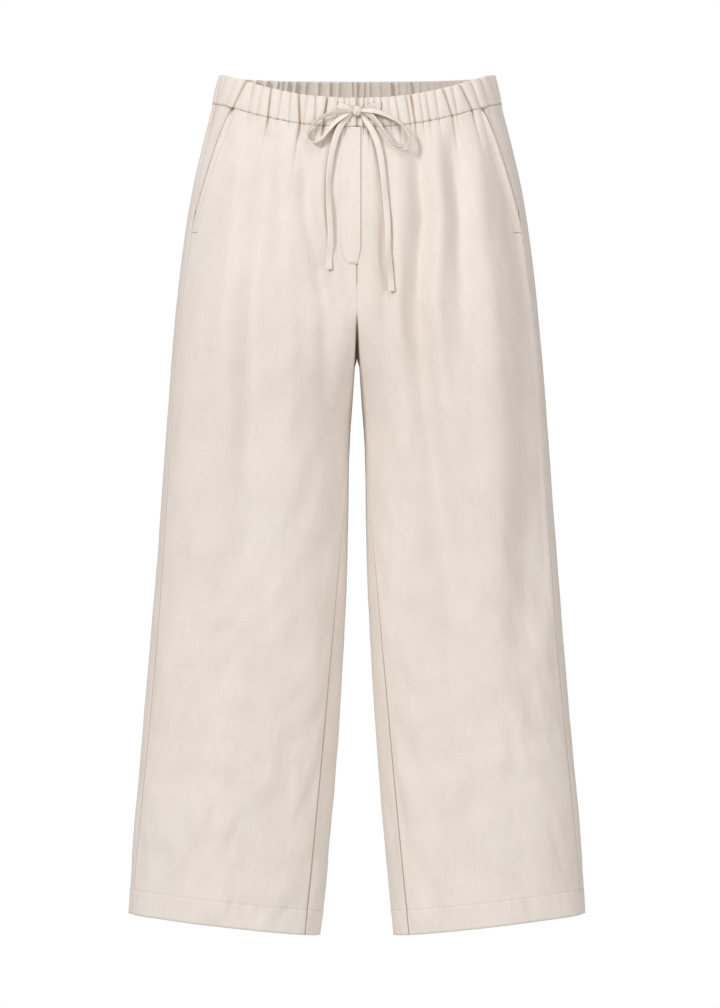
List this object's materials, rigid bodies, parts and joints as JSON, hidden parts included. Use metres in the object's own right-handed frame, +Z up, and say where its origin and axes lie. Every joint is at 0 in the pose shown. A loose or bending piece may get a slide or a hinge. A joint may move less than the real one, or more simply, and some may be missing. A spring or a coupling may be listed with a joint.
{
  "type": "linen drawstring trousers",
  "caption": "Wide-leg linen trousers, hollow and filled out as worn, with a gathered elastic waistband, drawstring bow, mock fly and slanted side pockets.",
  "frame": {"origin": "middle of the waist, half-way up the waistband at the sides, where the wearer's waist holds the garment up", "axes": "+Z up along the garment's length, the front faces -Y, the wearer's left side is at +X"},
  "size_m": [0.5688, 0.224, 1.0698],
  "materials": {
    "linen": "plain-woven natural linen, matt with fine slubs",
    "tape": "self-fabric linen tape, matt"
  },
  "bodies": {
    "root": {"front_left": "linen", "front_right": "linen", "back_left": "linen", "back_right": "linen", "waistband_left": "linen", "waistband_right": "linen", "pocket_facing_left": "linen", "pocket_facing_right": "linen", "mock_fly": "linen", "drawstring_strand_left": "tape", "drawstring_strand_right": "tape", "drawstring_loop_left": "tape", "drawstring_loop_right": "tape", "drawstring_tail_left": "tape", "drawstring_tail_right": "tape", "drawstring_knot": "tape"}
  },
  "joints": []
}
